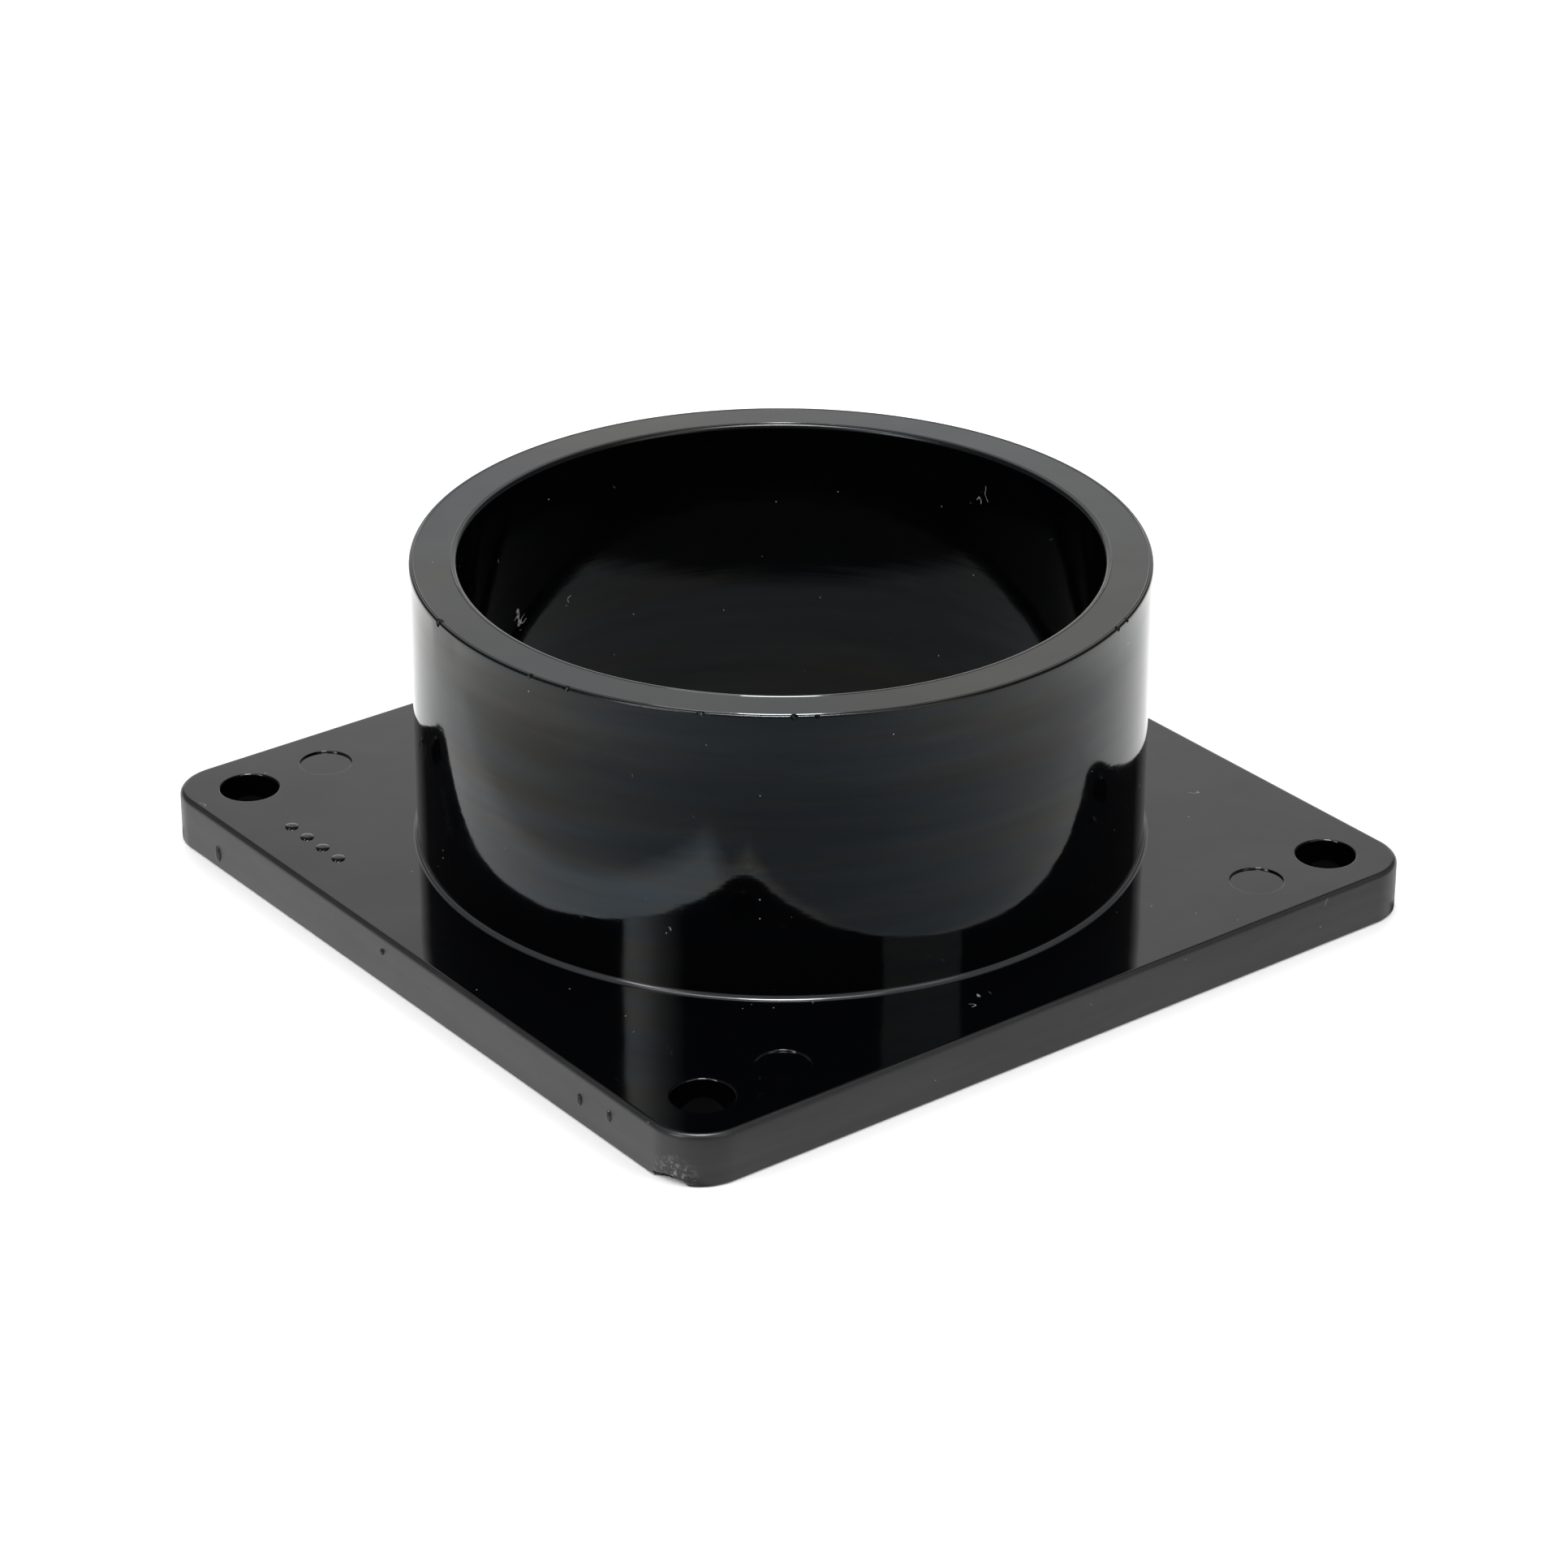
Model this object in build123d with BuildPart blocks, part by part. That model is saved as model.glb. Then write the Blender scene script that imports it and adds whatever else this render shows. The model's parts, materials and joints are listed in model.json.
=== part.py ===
from build123d import *
import os

# Square slip-hub flange for 3 inch ABS drain pipe, with its face seal.
# The flange is one injection moulding: a square plate and a round hub.
# The pipe slides down into the hub and stops on a thin lip at the bottom.
# Four bolts clamp the plate's underside to the next fitting, and a rubber
# ring in a groove of that underside seals the joint.
# Origin: centre of the underside, which is the sealing face. +Z is up the hub.

# Plate
plate_side = 127.0
plate_thickness = 7.7
plate_corner_radius = 7.5
plate_top_round = 0.8
plate_bottom_break = 0.3

# Hub and pipe socket
hub_radius = 51.2
overall_height = 49.4
hub_foot_fillet = 0.6
rim_outer_round = 0.4
rim_inner_round = 0.6
socket_radius = 44.6
stop_lip_thickness = 1.6
stop_lip_width = 2.0

# Bolt holes
bolt_spacing = 108.5
bolt_hole_radius = 4.2
bolt_hole_break = 0.25

# Witness marks left by the mould's ejector pins, sunk into the plate's top
ejector_mark_radius = 3.7
ejector_mark_depth = 0.25
ejector_mark_spacing_x = 82.6

# Row of plain raised dots that tells one mould cavity from another
cavity_dot_radius = 1.0
cavity_dot_height = 0.25
cavity_dot_pitch = 4.0
cavity_dot_count = 4
cavity_dot_x = -56.0
cavity_dot_y = 34.3

# Groove in the underside, and the ring that fills it
groove_inner_radius = 46.6
groove_outer_radius = 50.6
groove_depth = 2.4
seal_side_gap = 0.15
seal_corner_round = 0.6

waterway_radius = socket_radius - stop_lip_width
plate_top = Plane.XY.offset(plate_thickness)

os.makedirs("parts", exist_ok=True)

with BuildPart() as flange_body:
    # Plate, with its upper edge rounded and its lower edge just broken
    with BuildSketch():
        RectangleRounded(plate_side, plate_side, plate_corner_radius)
    extrude(amount=plate_thickness)
    fillet(faces().sort_by(Axis.Z)[-1].edges(), plate_top_round)
    chamfer(faces().sort_by(Axis.Z)[0].edges(), plate_bottom_break)

    # Hub, blended into the plate by a fillet around its foot
    with BuildSketch(plate_top):
        Circle(hub_radius)
    extrude(amount=overall_height - plate_thickness)
    hub_edges = edges().filter_by(GeomType.CIRCLE).filter_by(lambda edge: edge.radius == hub_radius)
    fillet(hub_edges.sort_by(Axis.Z)[0], hub_foot_fillet)

    # Pipe socket, which stops short of the underside and leaves the lip
    with BuildSketch(Plane.XY.offset(stop_lip_thickness)):
        Circle(socket_radius)
    extrude(amount=overall_height, mode=Mode.SUBTRACT)
    with BuildSketch():
        Circle(waterway_radius)
    extrude(amount=stop_lip_thickness, mode=Mode.SUBTRACT)
    rim_edges = faces().sort_by(Axis.Z)[-1].edges().sort_by(SortBy.RADIUS)
    fillet(rim_edges[-1], rim_outer_round)
    fillet(rim_edges[0], rim_inner_round)

    # Seal groove in the underside
    with BuildSketch():
        Circle(groove_outer_radius)
        Circle(groove_inner_radius, mode=Mode.SUBTRACT)
    extrude(amount=groove_depth, mode=Mode.SUBTRACT)

    # Bolt holes, with their upper edges just broken
    with BuildSketch():
        with GridLocations(bolt_spacing, bolt_spacing, 2, 2):
            Circle(bolt_hole_radius)
    extrude(amount=plate_thickness, mode=Mode.SUBTRACT)
    hole_edges = edges().filter_by(GeomType.CIRCLE).filter_by(lambda edge: edge.radius == bolt_hole_radius)
    chamfer(hole_edges.group_by(Axis.Z)[-1], bolt_hole_break)

    # Ejector-pin marks
    with BuildSketch(plate_top):
        with GridLocations(ejector_mark_spacing_x, bolt_spacing, 2, 2):
            Circle(ejector_mark_radius)
    extrude(amount=-ejector_mark_depth, mode=Mode.SUBTRACT)

    # Cavity dots
    with BuildSketch(plate_top):
        with Locations((cavity_dot_x, cavity_dot_y)):
            with GridLocations(0, cavity_dot_pitch, 1, cavity_dot_count):
                Circle(cavity_dot_radius)
    extrude(amount=cavity_dot_height)

with BuildPart() as face_seal:
    # Ring drawn at its clamped height, flush with the underside
    with BuildSketch():
        Circle(groove_outer_radius - seal_side_gap)
        Circle(groove_inner_radius + seal_side_gap, mode=Mode.SUBTRACT)
    extrude(amount=groove_depth)
    fillet(edges().filter_by(GeomType.CIRCLE), seal_corner_round)

flange_body.part.label = "flange_body"
export_step(flange_body.part, "parts/flange_body.step")

face_seal.part.label = "face_seal"
export_step(face_seal.part, "parts/face_seal.step")
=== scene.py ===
import json
import random
from math import atan2, cos, pi, radians, sin

import bmesh
import bpy
from mathutils import Matrix, Quaternion, Vector


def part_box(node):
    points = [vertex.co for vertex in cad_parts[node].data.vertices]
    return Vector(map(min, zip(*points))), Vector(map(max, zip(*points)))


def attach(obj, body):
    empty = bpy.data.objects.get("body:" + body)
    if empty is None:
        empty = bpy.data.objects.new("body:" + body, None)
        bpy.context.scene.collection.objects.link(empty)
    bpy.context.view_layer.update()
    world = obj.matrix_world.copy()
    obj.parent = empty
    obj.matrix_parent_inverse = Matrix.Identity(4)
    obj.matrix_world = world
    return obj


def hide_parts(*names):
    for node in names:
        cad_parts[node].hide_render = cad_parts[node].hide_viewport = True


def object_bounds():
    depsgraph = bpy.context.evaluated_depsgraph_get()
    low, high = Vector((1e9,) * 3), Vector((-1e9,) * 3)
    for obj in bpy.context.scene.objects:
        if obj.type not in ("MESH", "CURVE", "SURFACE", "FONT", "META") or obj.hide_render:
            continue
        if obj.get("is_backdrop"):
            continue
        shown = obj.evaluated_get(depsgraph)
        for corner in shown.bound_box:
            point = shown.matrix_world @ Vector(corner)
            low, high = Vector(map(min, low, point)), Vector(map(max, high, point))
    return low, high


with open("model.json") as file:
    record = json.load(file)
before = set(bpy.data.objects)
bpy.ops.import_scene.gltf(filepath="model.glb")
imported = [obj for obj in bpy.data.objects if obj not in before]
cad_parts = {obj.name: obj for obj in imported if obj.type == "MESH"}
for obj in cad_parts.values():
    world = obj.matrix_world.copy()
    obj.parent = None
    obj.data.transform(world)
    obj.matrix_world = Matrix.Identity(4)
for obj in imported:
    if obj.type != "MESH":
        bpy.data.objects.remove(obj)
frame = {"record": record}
cad_low, cad_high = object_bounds()
mounts = {mount["name"]: mount for mount in frame["record"]["mounts"]}


# Flange blank. The real piece is one injection moulding in black ABS: a square plate with a
# round hub standing on it. Here it is one closed skin of rings round the hub's axis, which
# follow its section from the underside over the plate, up the hub and down the socket.
plate_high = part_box("flange_body")[1]
seal_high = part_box("face_seal")[1]
half_side = plate_high.x
rim_height = plate_high.z
plate_thickness = mounts["flange_bolts"]["pos_m"][2]
corner_radius = 0.0075
plate_round = 0.0008
plate_break = 0.0003
hub_radius = 0.0512
foot_fillet = 0.0006
rim_outer_round = 0.0004
rim_inner_round = 0.0006
seam_width = 0.0002
seam_rise = 0.00004
edge_softness = 0.00012
socket_radius = mounts["pipe_socket"]["dims"]["r_mm"] / 1000
lip_thickness = 0.0016
lip_width = 0.002
waterway_radius = socket_radius - lip_width
seal_gap = 0.00015
groove_outer = seal_high.x + seal_gap
groove_inner = 0.0466
groove_depth = seal_high.z

corner_steps = 18
side_steps = 86
side_layers = 7
top_edge_steps = 7
fillet_steps = 9


def outline(inset):
    """Points of the plate's rounded square, pulled in by inset, once round from the +X side."""
    reach = half_side - corner_radius
    radius = corner_radius - inset
    points = []
    for quarter in range(4):
        turn = Matrix.Rotation(quarter * pi / 2, 2)
        for step in range(side_steps):
            along = -reach + 2 * reach * step / side_steps
            points.append(turn @ Vector((half_side - inset, along)))
        for step in range(corner_steps):
            angle = pi / 2 * step / corner_steps
            points.append(turn @ Vector((reach + radius * cos(angle), reach + radius * sin(angle))))
    return points


bearings = [atan2(point.y, point.x) for point in outline(0)]


def plate_ring(inset, height):
    return [Vector((point.x, point.y, height)) for point in outline(inset)]


def round_ring(radius, height):
    return [Vector((radius * cos(angle), radius * sin(angle), height)) for angle in bearings]


def arc(centre, radius, start, end, steps):
    """Points (out, up) of a section's arc, from start to end in degrees."""
    turns = [radians(start + (end - start) * step / steps) for step in range(steps + 1)]
    return [(centre[0] + radius * cos(turn), centre[1] + radius * sin(turn)) for turn in turns]


def skin(name, rings):
    """A closed skin over rings of equal length, the last joined to the first."""
    mesh = bmesh.new()
    rows = [[mesh.verts.new(point) for point in ring] for ring in rings]
    count = len(rows[0])
    for lower, upper in zip(rows, rows[1:] + rows[:1]):
        for here in range(count):
            there = (here + 1) % count
            mesh.faces.new((lower[here], lower[there], upper[there], upper[here]))
    bmesh.ops.recalc_face_normals(mesh, faces=mesh.faces)
    piece = bpy.data.objects.new(name, bpy.data.meshes.new(name))
    mesh.to_mesh(piece.data)
    mesh.free()
    bpy.context.scene.collection.objects.link(piece)
    return piece


def soft_corner(out, up, start, end):
    """Rings of a tiny rounding on the section, centred on (out, up)."""
    return [round_ring(*point) for point in arc((out, up), edge_softness, start, end, 3)]


def seam(out):
    """Rings of the fine raised line that a joint in the mould leaves on the rim's top."""
    steps = [(0.5, 0), (0.2, 1), (-0.2, 1), (-0.5, 0)]
    return [round_ring(out + side * seam_width, rim_height + up * seam_rise) for side, up in steps]


side_top = plate_thickness - plate_round
side_ups = [plate_break + (side_top - plate_break) * step / side_layers for step in range(1, side_layers)]
rings = [plate_ring(plate_break, 0), plate_ring(0, plate_break)]
rings += [plate_ring(0, up) for up in side_ups]
top_edge = arc((-plate_round, side_top), plate_round, 0, 90, top_edge_steps)
rings += [plate_ring(-out, up) for out, up in top_edge]

foot_middle = (hub_radius + foot_fillet, plate_thickness + foot_fillet)
rings += [round_ring(out, up) for out, up in arc(foot_middle, foot_fillet, 270, 180, fillet_steps)]

outer_middle = (hub_radius - rim_outer_round, rim_height - rim_outer_round)
inner_middle = (socket_radius + rim_inner_round, rim_height - rim_inner_round)
rings += [round_ring(out, up) for out, up in arc(outer_middle, rim_outer_round, 0, 90, fillet_steps)]
rings += seam(outer_middle[0] - seam_width)
rings += seam(inner_middle[0] + seam_width)
rings += [round_ring(out, up) for out, up in arc(inner_middle, rim_inner_round, 90, 180, fillet_steps)]

rings += [round_ring(socket_radius, lip_thickness + edge_softness)]
rings += [round_ring(socket_radius - edge_softness, lip_thickness)]
rings += soft_corner(waterway_radius + edge_softness, lip_thickness - edge_softness, 90, 180)
rings += soft_corner(waterway_radius + edge_softness, edge_softness, 180, 270)
rings += soft_corner(groove_inner - edge_softness, edge_softness, 270, 360)
rings += [round_ring(groove_inner, groove_depth), round_ring(groove_outer, groove_depth)]
rings += soft_corner(groove_outer + edge_softness, edge_softness, 180, 270)
flange = skin("flange_moulding", rings)


# Bolt holes, cored straight through the plate in its corners, their upper edges just broken.
# Beside each one is the shallow round witness of an ejector pin.
hole_radius = mounts["flange_bolts"]["dims"]["hole_r_mm"] / 1000
hole_x = mounts["flange_bolts"]["dims"]["spacing_x_mm"] / 2000
hole_y = mounts["flange_bolts"]["dims"]["spacing_y_mm"] / 2000
hole_break = 0.00025
pin_radius = 0.0037
pin_depth = 0.00025
pin_softness = 0.00018
pin_clearance = 0.00005
pin_x = 0.0413
past = 0.001
hole_steps = 96
edge_steps = 6


def turned(name, section, steps=hole_steps):
    """A closed solid turned from points (out, up) that start and end on the axis. Its steps
    start a little off the X axis, which keeps its edges clear of the plate's."""
    mesh = bmesh.new()
    foot = mesh.verts.new((0, 0, section[0][1]))
    tip = mesh.verts.new((0, 0, section[-1][1]))
    turns = [2 * pi * (step + 0.3) / steps for step in range(steps)]
    rows = [[mesh.verts.new((out * cos(turn), out * sin(turn), up)) for turn in turns]
            for out, up in section[1:-1]]
    for here in range(steps):
        there = (here + 1) % steps
        mesh.faces.new((foot, rows[0][there], rows[0][here]))
        mesh.faces.new((tip, rows[-1][here], rows[-1][there]))
        for lower, upper in zip(rows, rows[1:]):
            mesh.faces.new((lower[here], lower[there], upper[there], upper[here]))
    bmesh.ops.recalc_face_normals(mesh, faces=mesh.faces)
    piece = bpy.data.objects.new(name, bpy.data.meshes.new(name))
    mesh.to_mesh(piece.data)
    mesh.free()
    bpy.context.scene.collection.objects.link(piece)
    return piece


def copies(piece, places):
    """One object holding a copy of piece at each place, given as a point or a matrix."""
    mesh = bmesh.new()
    for place in places:
        before = len(mesh.verts)
        mesh.from_mesh(piece.data)
        mesh.verts.ensure_lookup_table()
        move = place if isinstance(place, Matrix) else Matrix.Translation(place)
        bmesh.ops.transform(mesh, matrix=move, verts=mesh.verts[before:])
    mesh.to_mesh(piece.data)
    mesh.free()
    return piece


def join(body, tool, operation):
    """Cuts tool away from body, or melts it on, and throws the tool away."""
    step = body.modifiers.new(tool.name, "BOOLEAN")
    step.operation = operation
    step.object = tool
    step.solver = "EXACT"
    step.material_mode = "TRANSFER"
    apply_modifiers(body)
    bpy.data.objects.remove(tool)


def apply_modifiers(piece):
    bpy.context.view_layer.update()
    finished = bpy.data.meshes.new_from_object(piece.evaluated_get(bpy.context.evaluated_depsgraph_get()))
    piece.modifiers.clear()
    piece.data = finished


corners = [(right, rear) for right in (-1, 1) for rear in (-1, 1)]
hole_mouth = hole_radius + hole_break
hole = turned("bolt_hole", [
    (0, -past),
    (hole_radius, -past),
    *arc((hole_mouth, plate_thickness - hole_break), hole_break, 180, 90, edge_steps),
    (hole_mouth, plate_thickness + past),
    (0, plate_thickness + past)])
join(flange, copies(hole, [(right * hole_x, rear * hole_y, 0) for right, rear in corners]), "DIFFERENCE")

pin_end = plate_thickness - pin_depth
pin_mouth = pin_radius + pin_softness
pin = turned("ejector_pin", [
    (0, pin_end),
    (pin_radius - pin_clearance, pin_end),
    *arc((pin_mouth, plate_thickness - pin_softness), pin_softness, 180, 90, edge_steps),
    (pin_mouth, plate_thickness + past),
    (0, plate_thickness + past)])
join(flange, copies(pin, [(right * pin_x, rear * hole_y, 0) for right, rear in corners]), "DIFFERENCE")


# Cavity dots: a row of low raised dots beside one edge of the plate, cut into the mould to
# tell one cavity from the next.
dot_radius = 0.001
dot_height = 0.00025
dot_pitch = 0.004
dot_count = 4
dot_x = -0.056
dot_y = 0.0343
dot_steps = 32
dome = [(0, -1), (1, -1), (1, 0), (0.92, 0.55), (0.72, 0.9), (0.4, 1), (0, 1)]
section = [(dot_radius * out, plate_thickness + dot_height * up) for out, up in dome]
dot = turned("cavity_dot", section, dot_steps)
row = [(step - (dot_count - 1) / 2) * dot_pitch for step in range(dot_count)]
join(flange, copies(dot, [(dot_x, dot_y + along, 0) for along in row]), "UNION")


# Knocks and flaws. Handling has bitten small pieces out of the rim's outer edge, one bottom
# corner of the plate is broken away, and the mould left a few low pips on one side.
# Bites are (bearing in degrees, length, depth), with the lengths in millimetres.
bites = [(168.8, 1.5, 0.8), (-167.4, 0.9, 0.45), (-160.6, 1.1, 0.5), (-139.2, 1.2, 0.45),
         (-125.7, 1.1, 0.5), (-122.3, 0.7, 0.4), (-66.1, 1.0, 0.5), (-62.7, 0.9, 0.45)]
bite_inset = rim_outer_round * 0.2
bite_roughness = 0.35
mm = 0.001
chance = random.Random(7)


def lump(name, half_sizes, roughness, detail=2):
    """A rough broken-looking lump about the origin."""
    mesh = bmesh.new()
    bmesh.ops.create_icosphere(mesh, subdivisions=detail, radius=1)
    for vert in mesh.verts:
        vert.co *= 1 + roughness * (chance.random() - 0.5)
        vert.co *= Vector(half_sizes)
    piece = bpy.data.objects.new(name, bpy.data.meshes.new(name))
    mesh.to_mesh(piece.data)
    mesh.free()
    bpy.context.scene.collection.objects.link(piece)
    return piece


bite_edge = Matrix.Translation((hub_radius - bite_inset, 0, rim_height - bite_inset))
for bearing, length, depth in bites:
    bite = lump("bite", (depth * mm, length / 2 * mm, depth * mm), bite_roughness)
    edge = Matrix.Rotation(radians(bearing), 4, "Z") @ bite_edge
    join(flange, copies(bite, [edge @ Matrix.Rotation(radians(45), 4, "Y")]), "DIFFERENCE")

# The broken corner, on the bottom edge of the corner at -X -Y.
break_half_sizes = (0.0018, 0.0034, 0.0017)
break_bearing = -160
break_roughness = 0.25
break_detail = 4
break_past = 0.0002
break_drop = 0.0003
corner_middle = Vector((-(half_side - corner_radius), -(half_side - corner_radius), 0))
break_turn = Matrix.Rotation(radians(break_bearing), 4, "Z")
break_out = Matrix.Translation((corner_radius + break_past, 0, -break_drop))
break_lump = lump("break", break_half_sizes, break_roughness, break_detail)
join(flange, copies(break_lump, [Matrix.Translation(corner_middle) @ break_turn @ break_out]), "DIFFERENCE")

# Mould pips are (along the side, up, half length, half height) in millimetres, on the side
# facing -X.
pips = [(48.3, 2.4, 0.6, 1.3), (-40.0, 3.7, 0.45, 0.9), (-46.5, 4.3, 0.45, 0.9), (6.0, 5.2, 0.35, 0.5)]
pip_rise = 0.0004
pip_roughness = 0.12
for along, up, length, height in pips:
    pip = lump("pip", (pip_rise, length * mm, height * mm), pip_roughness)
    join(flange, copies(pip, [(-half_side, along * mm, up * mm)]), "UNION")


def shade(piece, sharp):
    """Smooth shading that keeps the flat faces flat and breaks at edges over the angle given."""
    bpy.context.view_layer.update()
    piece.data.shade_smooth()
    piece.data.set_sharp_from_angle(angle=radians(sharp))
    step = piece.modifiers.new("flat_faces", "WEIGHTED_NORMAL")
    step.mode = "FACE_AREA"
    step.weight = 50
    step.keep_sharp = True
    apply_modifiers(piece)


shade(flange, sharp=32)


# Black ABS, glossy from a polished mould, with slow waves and fine streaks from the flow of the plastic,
# faint painted coloured reflections on the hub, fine handling scratches, dust and lint. The plate's sides
# are satin, the rim's edges duller, the foot of the hub paler with a painted sheen, and the broken corner is
# bruised.
def material(name):
    made = bpy.data.materials.new(name)
    made.use_nodes = True
    return made, made.node_tree, made.node_tree.nodes["Principled BSDF"]


def node(tree, kind, inputs=(), **settings):
    """A new node with its settings, its inputs linked from sockets or set to values."""
    made = tree.nodes.new(kind)
    for name, value in settings.items():
        setattr(made, name, value)
    for name, value in dict(inputs).items():
        if isinstance(value, bpy.types.NodeSocket):
            tree.links.new(value, made.inputs[name])
        else:
            made.inputs[name].default_value = value
    return made


def vector(tree, operation, first, second=(0, 0, 0)):
    return node(tree, "ShaderNodeVectorMath", {0: first, 1: second}, operation=operation).outputs["Vector"]


def measure(tree, operation, first, second=(0, 0, 0)):
    """The number that a vector operation gives: a length, a distance or a dot product."""
    return node(tree, "ShaderNodeVectorMath", {0: first, 1: second}, operation=operation).outputs["Value"]


def own_place(tree):
    """The piece's own coordinates in metres."""
    return node(tree, "ShaderNodeTexCoord").outputs["Object"]


def noise(tree, scale, detail=3, rough=0.5):
    """Noise with so many waves to the metre along each axis."""
    made = node(tree, "ShaderNodeTexNoise",
                {"Vector": vector(tree, "MULTIPLY", own_place(tree), scale), "Scale": 1, "Detail": detail,
                 "Roughness": rough})
    return made.outputs["Fac"]


def remap(tree, value, low, high, to_low=0, to_high=1):
    return node(tree, "ShaderNodeMapRange",
                {"Value": value, 1: low, 2: high, 3: to_low, 4: to_high}).outputs[0]


def maths(tree, operation, first, second):
    return node(tree, "ShaderNodeMath", {0: first, 1: second}, operation=operation).outputs[0]


def bump(tree, height, depth, below=None):
    inputs = {"Height": height, "Distance": depth, "Strength": 1}
    if below:
        inputs["Normal"] = below
    return node(tree, "ShaderNodeBump", inputs).outputs[0]


def band(tree, value, low, high, soft):
    """1 where value lies between low and high, fading to 0 over soft on either side."""
    rise = remap(tree, value, low - soft, low)
    return maths(tree, "MULTIPLY", rise, remap(tree, value, high, high + soft, 1, 0))


def mixed(tree, factor, first, second):
    return node(tree, "ShaderNodeMix", {0: factor, 2: first, 3: second}).outputs[0]


def mixed_colour(tree, factor, first, second):
    made = node(tree, "ShaderNodeMix", {0: factor}, data_type="RGBA")
    for place, value in ((6, first), (7, second)):
        if isinstance(value, bpy.types.NodeSocket):
            tree.links.new(value, made.inputs[place])
        else:
            made.inputs[place].default_value = value
    return made.outputs[2]


polished_black = (0.0006, 0.0007, 0.0010, 1)
side_black = (0.011, 0.011, 0.0113, 1)
# The paler grey of the painted sheen on the hub's foot.
foot_painted_sheen = (0.024, 0.025, 0.027, 1)
dust_grey = (0.22, 0.22, 0.22, 1)
bruise_grey = (0.16, 0.16, 0.165, 1)
# Tints of the painted coloured reflections on the hub, and the untinted reflections off it.
cool_reflection_tint = (0.82, 0.93, 1.0, 1)
warm_reflection_tint = (1.0, 0.97, 0.89, 1)
no_reflection_tint = (1, 1, 1, 1)
side_rough = 0.26
foot_rough = 0.05
rim_rough = 0.18
scuff_rough = 0.12
dust_rough = 0.6
bruise_rough = 0.4

abs_plastic, tree, shader = material("black_abs")
shader.inputs["IOR"].default_value = 1.5
place = own_place(tree)
high = node(tree, "ShaderNodeSeparateXYZ", {0: place}).outputs[2]
flat_place = vector(tree, "MULTIPLY", place, (1, 1, 0))
from_axis = measure(tree, "LENGTH", flat_place)

# The plate's sides are found by their distance from the rounded square's inner square.
inner_square = (half_side - corner_radius, half_side - corner_radius, 0)
past_square = vector(tree, "SUBTRACT", vector(tree, "ABSOLUTE", flat_place), inner_square)
past_square = measure(tree, "LENGTH", vector(tree, "MAXIMUM", past_square))
side_zone = maths(tree, "MULTIPLY", remap(tree, past_square, 0.0066, 0.0070),
                  remap(tree, high, plate_thickness, plate_thickness - 0.0001))
foot_zone = maths(tree, "MULTIPLY", band(tree, from_axis, hub_radius, hub_radius + foot_fillet, 0.0001),
                  remap(tree, high, plate_thickness + foot_fillet, plate_thickness + 0.0004))
rim_zone = band(tree, high, rim_height - 0.0006, rim_height - 0.00008, 0.00005)
hub_zone = remap(tree, high, 0.0080, 0.0090)

flow = noise(tree, (60, 60, 90), 2)
streaks = noise(tree, (25, 25, 700), 3, 0.55)
scuff_one = noise(tree, (90, 2600, 2600), 2)
scuff_two = noise(tree, (2400, 120, 2400), 2)
scuffs = maths(tree, "MAXIMUM", remap(tree, scuff_one, 0.70, 0.78), remap(tree, scuff_two, 0.70, 0.78))
cloud = noise(tree, (140, 140, 140), 4, 0.6)

# Dust: each cell of the pattern may hold one speck. Lint: short lengths of a thin wavy line.
cells = node(tree, "ShaderNodeTexVoronoi", {"Vector": place, "Scale": 600, "Randomness": 1})
cell_red = node(tree, "ShaderNodeSeparateColor", {"Color": cells.outputs["Color"]}).outputs[0]
specks = maths(tree, "MULTIPLY", remap(tree, cells.outputs["Distance"], 0.075, 0.035),
               remap(tree, cell_red, 0.93, 0.94))
thread = maths(tree, "ABSOLUTE", maths(tree, "SUBTRACT", noise(tree, (330, 330, 330), 1), 0.5), 0)
patches = remap(tree, noise(tree, (170, 150, 160), 1), 0.745, 0.76)
lint = maths(tree, "MULTIPLY", remap(tree, thread, 0.010, 0.004), patches)
dust = maths(tree, "MAXIMUM", specks, maths(tree, "MULTIPLY", lint, 0.7))

# The bruise around the broken corner.
bruise_middle = (corner_middle.x - 0.0058, corner_middle.y - 0.0028, 0.0013)
bruise_away = measure(tree, "DISTANCE", place, bruise_middle)
bruise = maths(tree, "MULTIPLY", remap(tree, bruise_away, 0.0036, 0.0012),
               remap(tree, noise(tree, (1500, 1500, 1500), 4, 0.7), 0.5, 0.62))

colour = mixed_colour(tree, side_zone, polished_black, side_black)
# Painted sheen: the foot of the hub is made paler, standing in for the band of light that its fillet
# reflects.
colour = mixed_colour(tree, foot_zone, colour, foot_painted_sheen)
colour = mixed_colour(tree, dust, colour, dust_grey)
colour = mixed_colour(tree, bruise, colour, bruise_grey)
tree.links.new(colour, shader.inputs["Base Color"])

# Painted coloured reflections: the hub's reflections are tinted in streaks swept round it, mostly
# warm above, cool below the middle, and warm again at the foot.
reflection_bands = maths(tree, "ADD", noise(tree, (14, 14, 240), 5, 0.65), remap(tree, high, 0.022, 0.034, -0.06, 0.05))
reflection_bands = maths(tree, "ADD", reflection_bands, remap(tree, high, 0.016, 0.012, 0, 0.1))
tint = mixed_colour(tree, remap(tree, reflection_bands, 0.42, 0.6), cool_reflection_tint, warm_reflection_tint)
tint = mixed_colour(tree, hub_zone, no_reflection_tint, tint)
tree.links.new(tint, shader.inputs["Specular Tint"])
tree.links.new(remap(tree, noise(tree, (22, 22, 260), 4, 0.65), 0.3, 0.7, 0.42, 0.58),
               shader.inputs["Specular IOR Level"])

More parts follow.
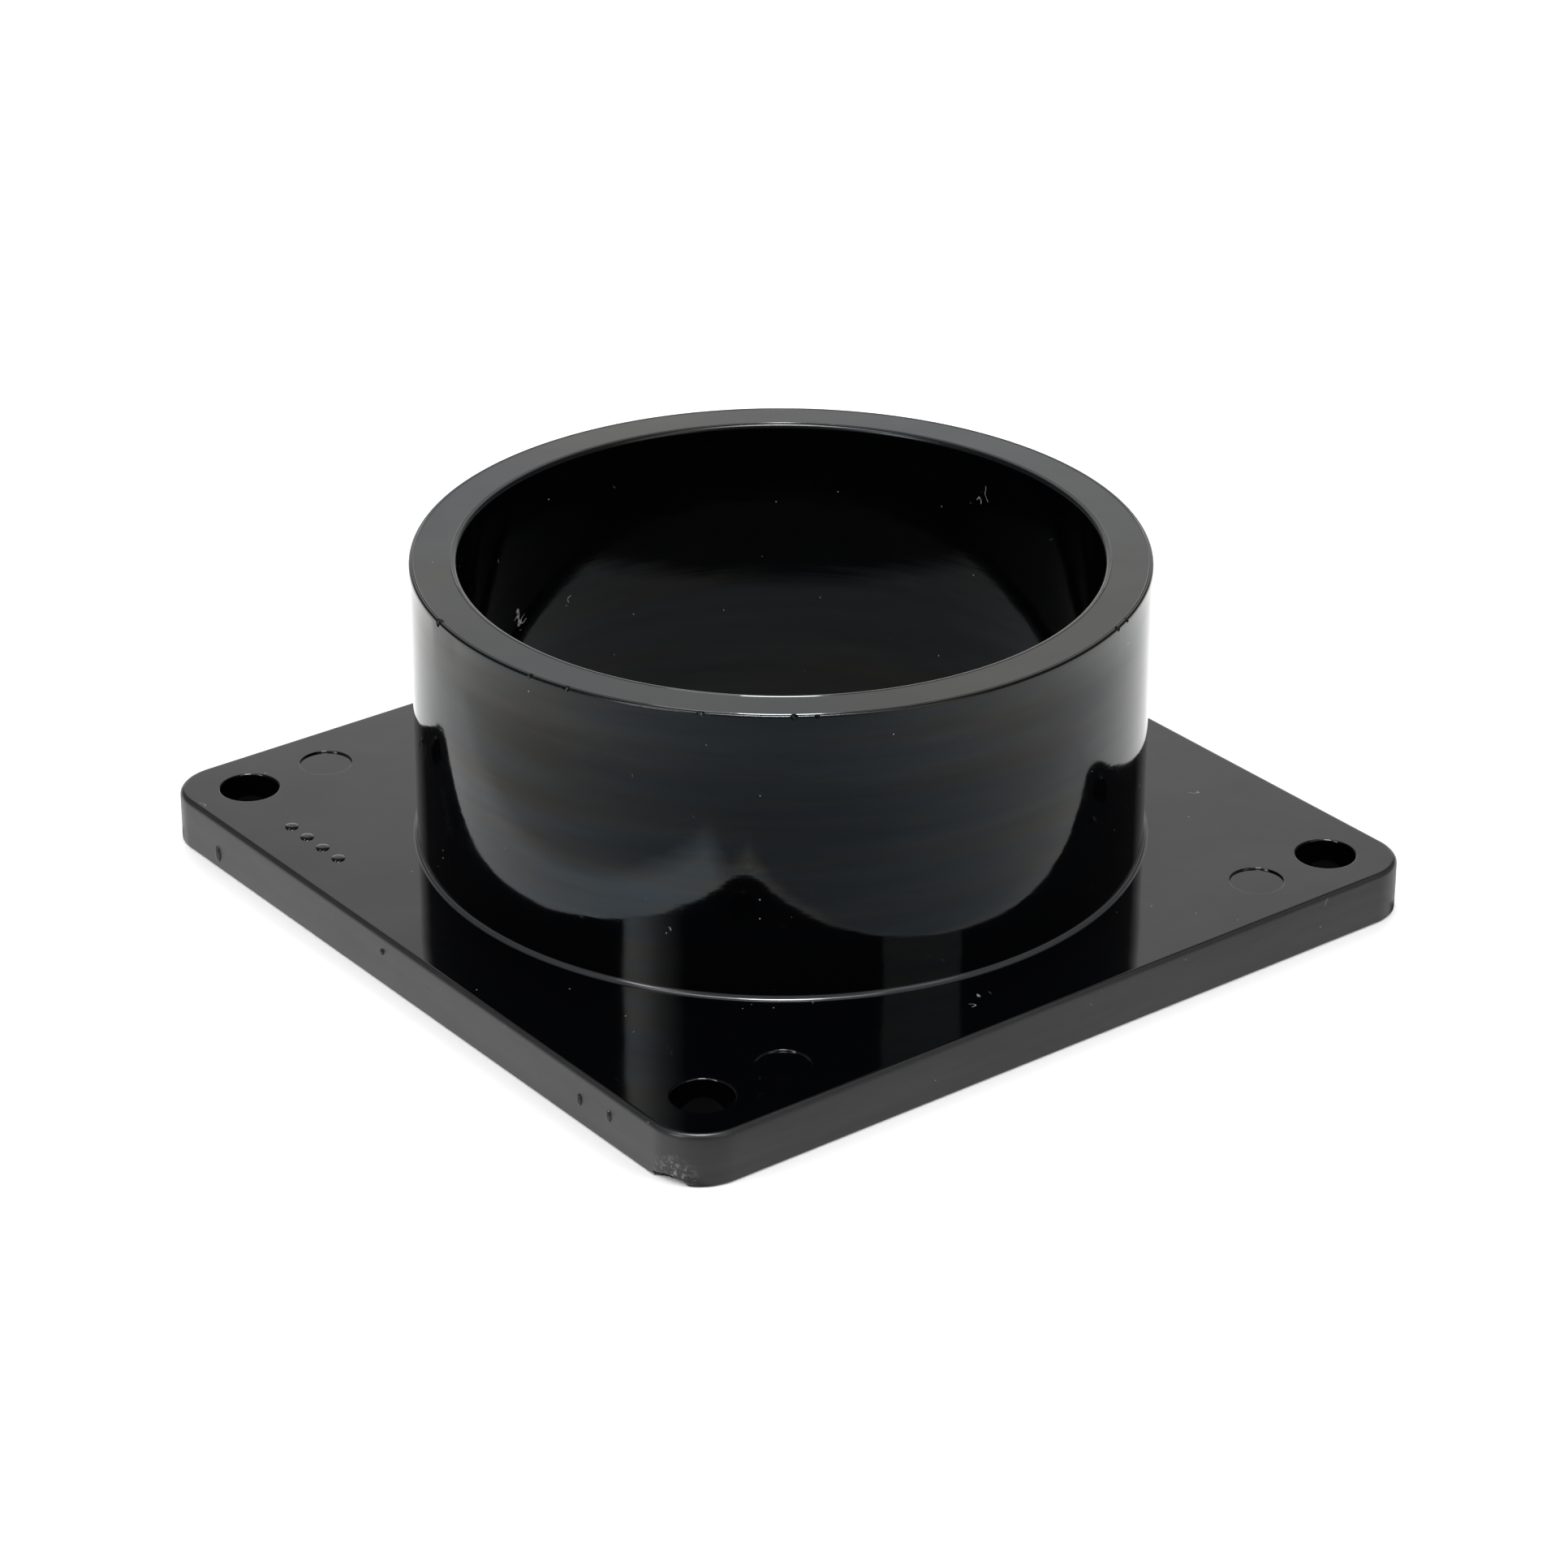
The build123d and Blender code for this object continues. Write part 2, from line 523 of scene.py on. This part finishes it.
rough = remap(tree, cloud, 0.3, 0.75, 0.04, 0.09)
for where, added in [(scuffs, scuff_rough), (dust, dust_rough), (side_zone, side_rough),
                     (foot_zone, foot_rough), (rim_zone, rim_rough), (bruise, bruise_rough)]:
    rough = maths(tree, "ADD", rough, maths(tree, "MULTIPLY", where, added))
tree.links.new(rough, shader.inputs["Roughness"])

surface = None
for raised, depth in [(flow, 0.00006), (streaks, 0.000006), (scuffs, 0.0000015), (bruise, 0.00008)]:
    surface = bump(tree, raised, depth, surface)
tree.links.new(surface, shader.inputs["Normal"])
flange.data.materials.clear()
flange.data.materials.append(abs_plastic)

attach(flange, "root")
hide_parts("flange_body")


# Face seal: a moulded rubber ring pressed into the groove of the underside. Its clamped face
# carries three low ribs, flush with the plate, and its corners are rounded.
seal_inner = groove_inner + seal_gap
seal_outer = groove_outer - seal_gap
seal_corner = 0.0006
corner_arc_steps = 6
rib_dip = 0.00018
rib_dips = 3
face_inner = seal_inner + seal_corner
face_outer = seal_outer - seal_corner
face_steps = 24
section = arc((face_inner, seal_corner), seal_corner, 180, 270, corner_arc_steps)
for step in range(1, face_steps):
    part = step / face_steps
    dip = rib_dip * sin(rib_dips * pi * part) ** 2
    section.append((face_inner + (face_outer - face_inner) * part, dip))
section += arc((face_outer, seal_corner), seal_corner, 270, 360, corner_arc_steps)
section += arc((face_outer, groove_depth - seal_corner), seal_corner, 0, 90, corner_arc_steps)
section += arc((face_inner, groove_depth - seal_corner), seal_corner, 90, 180, corner_arc_steps)
seal = skin("face_seal_ring", [round_ring(*point) for point in section])
shade(seal, sharp=50)

rubber_black = (0.018, 0.018, 0.018, 1)
talc_grey = (0.06, 0.06, 0.058, 1)
rubber, tree, shader = material("seal_rubber")
grain = noise(tree, (2500, 2500, 2500), 3, 0.6)
talc = remap(tree, noise(tree, (260, 260, 260), 5, 0.65), 0.52, 0.75)
powdered = mixed_colour(tree, talc, rubber_black, talc_grey)
tree.links.new(powdered, shader.inputs["Base Color"])
tree.links.new(remap(tree, talc, 0, 1, 0.52, 0.8), shader.inputs["Roughness"])
tree.links.new(bump(tree, grain, 0.00002), shader.inputs["Normal"])
seal.data.materials.append(rubber)

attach(seal, "root")
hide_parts("face_seal")


# Floor: a plain white table top, far wider than the object, just under it. It is left out of
# reflections, because the reflector stands in for it there.
table_size = 12
table_white = (0.82, 0.82, 0.82, 1)
bpy.ops.mesh.primitive_plane_add(size=table_size, location=(0, 0, cad_low.z - 0.00002))
floor = bpy.context.object
floor.name = "floor"
white, tree, shader = material("white_table")
shader.inputs["Base Color"].default_value = table_white
shader.inputs["Roughness"].default_value = 0.6
floor.data.materials.append(white)
floor.visible_glossy = False
floor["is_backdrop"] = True


# Camera, on a long lens, looking down at the flange's corner. It is turned a little, and moved
# a little up and aside, so that the flange sits slightly off the middle.
azimuth = radians(-37.629)
elevation = radians(27.117)
roll = radians(0.109)
distance = 0.69993
aside = 0.00048
above = 0.01197
back = Vector((sin(azimuth) * cos(elevation), -cos(azimuth) * cos(elevation), sin(elevation)))
facing = (-back).to_track_quat("-Z", "Y") @ Quaternion((0, 0, 1), roll)
camera = bpy.data.objects.new("camera", bpy.data.cameras.new("camera"))
bpy.context.scene.collection.objects.link(camera)
camera.rotation_mode = "QUATERNION"
camera.rotation_quaternion = facing
camera.location = back * distance + facing @ Vector((aside, above, 0))
camera.data.sensor_width = 36
camera.data.lens = 113.04
camera.data.clip_start = 0.01
bpy.context.scene.camera = camera


# Reflector: a glowing sheet on the table, seen only as a reflection in the black gloss. It is
# dim at the front, where the table lies in shade, and bright at the back. Inside the bore it
# shows the pool of light that falls in over the near side of the rim.
table_glow = 1.7
far_gain = 1.45
side_glow = 0.82
left_glow = 1.15
under_plate_glow = 0.06
bore_glow = 0.03
pool_glow = 0.28
pool_offset = 0.036
neutral = (1, 1, 1, 1)
cool_shade = (0.88, 1, 1.12, 1)


def only_reflected(sheet):
    sheet.visible_camera = False
    sheet.visible_diffuse = False
    sheet.visible_shadow = False


def glowing(name):
    """A bare material with an empty node tree, for a sheet that gives light."""
    made = bpy.data.materials.new(name)
    made.use_nodes = True
    made.node_tree.nodes.clear()
    return made, made.node_tree


def emit(tree, strength, colour=neutral):
    emission = node(tree, "ShaderNodeEmission", {"Strength": strength, "Color": colour})
    node(tree, "ShaderNodeOutputMaterial", {"Surface": emission.outputs[0]})


def ladder(tree, value, steps):
    """A smooth run of light levels, given as (value, level) with both from 0 to 1."""
    curve = node(tree, "ShaderNodeFloatCurve", {"Value": value})
    points = curve.mapping.curves[0].points
    for place, level in steps[1:-1]:
        points.new(place, level)
    points[0].location = steps[0]
    points[-1].location = steps[-1]
    curve.mapping.update()
    return curve.outputs[0]


bpy.ops.mesh.primitive_plane_add(size=table_size, location=(0, 0, cad_low.z - 0.00001))
reflector = bpy.context.object
reflector.name = "reflector"
only_reflected(reflector)
glow, tree = glowing("glowing_sheet")
behind = Vector((-back.x, -back.y, 0)).normalized()
place = own_place(tree)
reach = measure(tree, "LENGTH", place)
rearward = measure(tree, "DOT_PRODUCT", vector(tree, "NORMALIZE", place), behind)

# The open table, brighter all round from front to back and again farther out.
round_level = ladder(tree, remap(tree, rearward, -1, 1),
                     [(0, 0.2), (0.15, 0.34), (0.5, 0.58), (0.75, 0.8), (0.86, 0.93), (1, 0.95)])
far_rise = remap(tree, reach, 0.12, 0.14, 1, far_gain)
open_glow = maths(tree, "MULTIPLY", maths(tree, "MULTIPLY", round_level, far_rise), table_glow)

# The strip of table beside the plate, which lights the plate's sides, brighter at the left.
across, along = node(tree, "ShaderNodeSeparateXYZ", {0: place}).outputs[:2]
square_reach = maths(tree, "MAXIMUM", maths(tree, "ABSOLUTE", across, 0), maths(tree, "ABSOLUTE", along, 0))
beside = remap(tree, square_reach, 0.078, 0.073)
beside_left = maths(tree, "MULTIPLY", remap(tree, across, -0.094, -0.086), remap(tree, across, -0.06, -0.063))
beside_left = maths(tree, "MULTIPLY", beside_left, remap(tree, along, -0.068, -0.06))
near_glow = mixed(tree, beside, open_glow, side_glow)
near_glow = mixed(tree, beside_left, near_glow, left_glow)

# The shade under the plate, and the pool of light inside the bore.
clear_of_plate = remap(tree, square_reach, half_side - 0.001, half_side)
table_level = mixed(tree, clear_of_plate, under_plate_glow, near_glow)
pool_away = measure(tree, "DISTANCE", place, behind * pool_offset)
pool = remap(tree, pool_away, 0.0485, 0.0410, bore_glow, pool_glow)
in_bore = remap(tree, reach, 0.05, 0.045)
front = remap(tree, rearward, -0.5, -0.95)
front = maths(tree, "MULTIPLY", front, remap(tree, square_reach, 0.076, 0.080))
emit(tree, mixed(tree, in_bore, table_level, pool), mixed_colour(tree, front, neutral, cool_shade))
reflector.data.materials.append(glow)
reflector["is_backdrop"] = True


# Room: a pale backdrop behind the object, brightest at the height of the table, in a room
# that is dim on all its other sides.
room_glow = 2
world = bpy.data.worlds.new("studio")
world.use_nodes = True
bpy.context.scene.world = world
tree = world.node_tree
ray = node(tree, "ShaderNodeTexCoord").outputs["Generated"]
ray_up = node(tree, "ShaderNodeSeparateXYZ", {0: ray}).outputs[2]
heading = vector(tree, "NORMALIZE", vector(tree, "MULTIPLY", ray, (1, 1, 0)))
toward_back = measure(tree, "DOT_PRODUCT", heading, behind)
backdrop = ladder(tree, ray_up, [(0, 0.7), (0.17, 0.66), (0.45, 0.48), (0.62, 0.36), (0.78, 0.14), (1, 0.1)])
dim_room = ladder(tree, ray_up, [(0, 0.3), (0.1, 0.16), (0.25, 0.06), (0.5, 0.05), (0.8, 0.08), (1, 0.1)])
room = mixed(tree, remap(tree, toward_back, 0.85, 0.96), dim_room, backdrop)
tree.links.new(maths(tree, "MULTIPLY", room, room_glow), tree.nodes["Background"].inputs["Strength"])
tree.nodes["Background"].inputs["Color"].default_value = neutral


# Left strip: a tall glowing sheet, seen only in reflections, that is bright along one edge
# and fades to the other.
strip_width = 0.62
strip_height = 1.3
strip_glow = 8.5


def aim(piece, bearing, height, away):
    """Puts piece so many metres away from the object, at angles in degrees, facing it."""
    turn, rise = radians(bearing), radians(height)
    out = Vector((sin(turn) * cos(rise), -cos(turn) * cos(rise), sin(rise)))
    piece.location = out * away
    piece.rotation_mode = "QUATERNION"
    piece.rotation_quaternion = out.to_track_quat("Z", "Y")


bpy.ops.mesh.primitive_plane_add(size=1)
strip_left = bpy.context.object
strip_left.name = "strip_left"
aim(strip_left, -77, 33, 2.0)
strip_left.scale = (strip_width, strip_height, 1)
only_reflected(strip_left)
fading, tree = glowing("fading_sheet")
across = node(tree, "ShaderNodeSeparateXYZ", {0: own_place(tree)}).outputs[0]
fade = ladder(tree, remap(tree, across, -0.5, 0.5), [(0, 0), (0.12, 0.95), (0.35, 0.75), (0.6, 0.35), (1, 0)])
emit(tree, maths(tree, "MULTIPLY", fade, strip_glow))
strip_left.data.materials.append(fading)
strip_left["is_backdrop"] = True


# Lamps: two small ones overhead and a soft strip at the right that show in the gloss, and
# four wide washes that light only the table.
def lamp(name, lights, bearing, height, away, size, power, shape="RECTANGLE"):
    """A soft lamp aimed at the object, size metres wide and high. It lights the gloss or the
    table, as lights says."""
    data = bpy.data.lights.new(name, "AREA")
    data.shape = shape
    data.size, data.size_y = size
    data.energy = power
    made = bpy.data.objects.new(name, data)
    bpy.context.scene.collection.objects.link(made)
    aim(made, bearing, height, away)
    made.visible_glossy = lights == "gloss"
    made.visible_diffuse = lights == "table"


wash_size = (1.6, 1.6)
lamp("key", "gloss", -37.6, 85, 1.5, (0.34, 0.34), 13, "DISK")
lamp("key_halo", "gloss", -52, 80, 1.6, (1.3, 0.5), 9, "ELLIPSE")
lamp("strip_right", "gloss", 7, 33, 2.0, (0.8, 1.3), 4)
lamp("wash_left", "table", -110, 40, 2.0, wash_size, 34)
lamp("wash_right", "table", 40, 40, 2.0, wash_size, 34)
lamp("wash_back", "table", 145, 45, 2.0, wash_size, 28)
lamp("wash_front", "table", -37.6, 50, 2.0, wash_size, 24)

bpy.context.scene.view_settings.view_transform = "Standard"

low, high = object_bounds()
